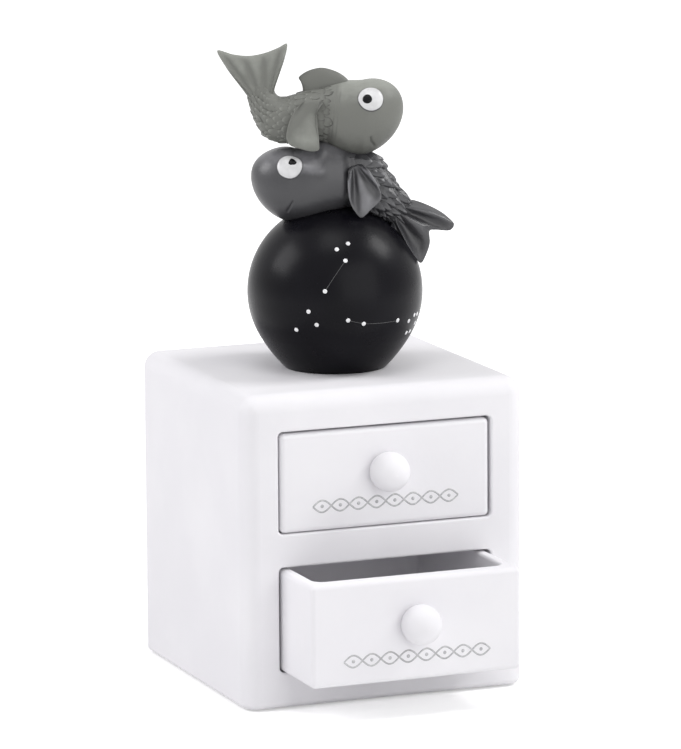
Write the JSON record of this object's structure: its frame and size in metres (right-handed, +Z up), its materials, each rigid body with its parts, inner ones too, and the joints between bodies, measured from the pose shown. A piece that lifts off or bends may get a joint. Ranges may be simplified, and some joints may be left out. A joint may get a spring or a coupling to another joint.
{
  "type": "baby tooth box",
  "caption": "Cast keepsake cabinet for milk teeth, with small knobbed drawers that slide out of its front and a dark globe on top that carries stacked fish.",
  "frame": {"origin": "middle of the underside, on the face of the felt pad that the box stands on", "axes": "+Z up through the globe and fish, -Y out of the drawer fronts, +X to the right as seen from the front"},
  "size_m": [0.06, 0.0822, 0.1294],
  "materials": {
    "white_casting": "cast resin painted satin white",
    "night_black": "cast resin painted matte near-black",
    "dark_fish": "cast resin painted matte dark grey, with lighter scale tips",
    "light_fish": "cast resin painted matte sage grey, with a darker wash in the hollows",
    "eye_white": "gloss white paint",
    "felt": "thin pressed felt"
  },
  "bodies": {
    "cabinet": {"cabinet": "white_casting", "felt_pad": "felt", "globe": "night_black", "lower_fish_body": "dark_fish", "lower_fish_tail_fin": "dark_fish", "lower_fish_left_fin": "dark_fish", "lower_fish_right_fin": "dark_fish", "lower_fish_eyes": "eye_white", "upper_fish_body": "light_fish", "upper_fish_tail_fin": "light_fish", "upper_fish_back_fin": "light_fish", "upper_fish_right_fin": "light_fish", "upper_fish_left_fin": "light_fish", "upper_fish_eyes": "eye_white"},
    "upper_drawer": {"upper_drawer": "white_casting", "upper_drawer_knob": "white_casting"},
    "lower_drawer": {"lower_drawer": "white_casting", "lower_drawer_knob": "white_casting"}
  },
  "joints": [
    {"name": "upper_drawer_slide", "type": "slide", "parent": "cabinet", "child": "upper_drawer", "axis": [0, -1, 0], "range_m": [0, 0.042]},
    {"name": "lower_drawer_slide", "type": "slide", "parent": "cabinet", "child": "lower_drawer", "axis": [0, -1, 0], "range_m": [-0.016, 0.026]}
  ]
}
